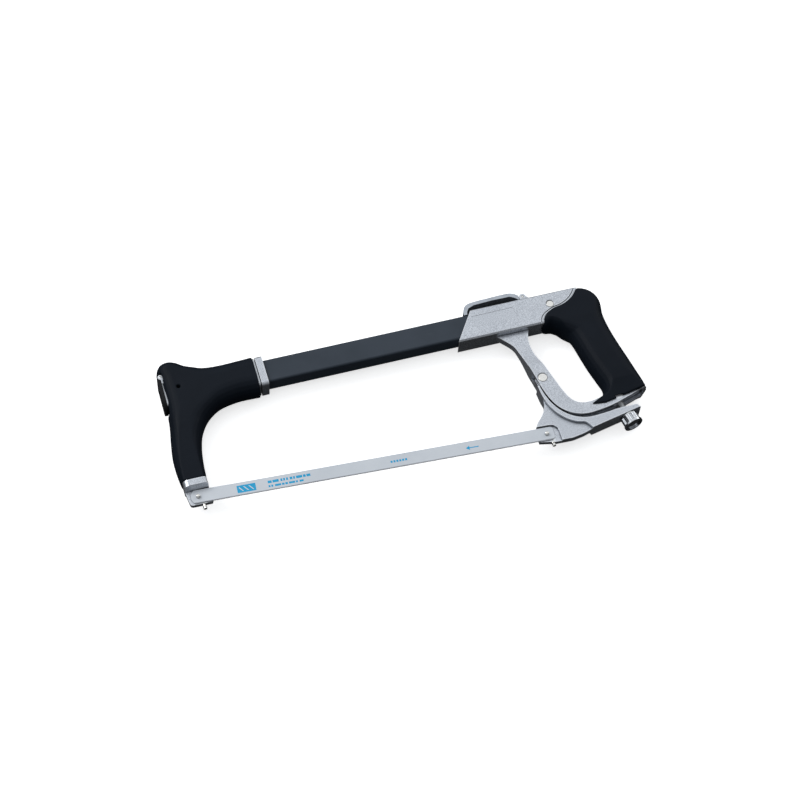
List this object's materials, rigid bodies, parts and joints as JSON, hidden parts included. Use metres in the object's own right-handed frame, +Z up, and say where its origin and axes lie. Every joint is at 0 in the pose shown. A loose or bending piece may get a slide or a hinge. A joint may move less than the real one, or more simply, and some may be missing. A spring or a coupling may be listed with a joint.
{
  "type": "hacksaw",
  "caption": "High-tension hacksaw: box-tube frame, cast front and rear holders with moulded rubber grips, D handle, screw-tensioned lever and a straight 12 inch blade.",
  "frame": {"origin": "centre of the overall box in plan, on the plane the saw lies on", "axes": "+X along the tube from the front grip to the handle, +Y from the blade to the tube, +Z up, through the saw's thickness"},
  "size_m": [0.4107, 0.1612, 0.029],
  "materials": {
    "frame_steel": "dark slate satin coating on steel tube",
    "casting": "die-cast aluminium with a fine satin coat",
    "rubber": "matte moulded rubber",
    "pins": "bright ground steel",
    "polished": "bright plated steel",
    "zinc": "zinc-plated steel",
    "black_steel": "blackened spring steel",
    "door": "black moulded plastic",
    "blade": "light grey painted blade with a bright toothed edge"
  },
  "bodies": {
    "frame": {"frame_tube": "frame_steel", "front_casting": "casting", "front_grip": "rubber", "front_tube_pins": "pins", "front_blade_pin": "pins", "front_flush_pin": "pins", "door_pin": "pins", "rear_casting": "casting", "rear_grip": "rubber", "rear_tube_pin": "pins", "lever_pivot_pin": "pins", "bail_pin": "pins", "blade": "blade"},
    "door": {"storage_door": "door"},
    "bail": {"hanging_bail": "polished"},
    "lever": {"tension_lever": "casting", "rear_blade_pin": "pins", "rear_flush_pin": "pins"},
    "nut": {"barrel_nut": "zinc"},
    "washer": {"thrust_washer": "zinc"},
    "knob": {"tension_screw": "zinc", "screw_clip": "black_steel", "tension_knob": "polished"}
  },
  "joints": [
    {"name": "knob_turn", "type": "hinge", "parent": "washer", "child": "knob", "pos_m": [0.1803, -0.0667, 0.0145], "axis": [0.1994, -0.9799, 0], "range_deg": [0, 720]},
    {"name": "screw_slide", "type": "slide", "parent": "nut", "child": "washer", "axis": [0.1994, -0.9799, 0], "range_m": [0, 0.00254]},
    {"name": "nut_pivot", "type": "hinge", "parent": "frame", "child": "nut", "pos_m": [0.17659, -0.04847, 0.0145], "axis": [0, 0, 1], "range_deg": [-2.87, 0]},
    {"name": "lever_swing", "type": "hinge", "parent": "frame", "child": "lever", "pos_m": [0.1192, -0.0158, 0.0145], "axis": [0, 0, 1], "range_deg": [-2.87, 0], "deforming": ["blade"]},
    {"name": "bail_fold", "type": "hinge", "parent": "frame", "child": "bail", "pos_m": [0.1284, 0.069, 0.0145], "axis": [0, 0, 1], "range_deg": [-100, 0]},
    {"name": "door_swing", "type": "hinge", "parent": "frame", "child": "door", "pos_m": [-0.1988, 0.0667, 0.0145], "axis": [0, 0, 1], "range_deg": [-75, 0]}
  ],
  "couplings": [
    {"joint": "knob_turn", "follows": "lever_swing", "ratio": -251.28},
    {"joint": "screw_slide", "follows": "lever_swing", "m_per_rad": -0.050791},
    {"joint": "nut_pivot", "follows": "lever_swing", "ratio": 1}
  ]
}
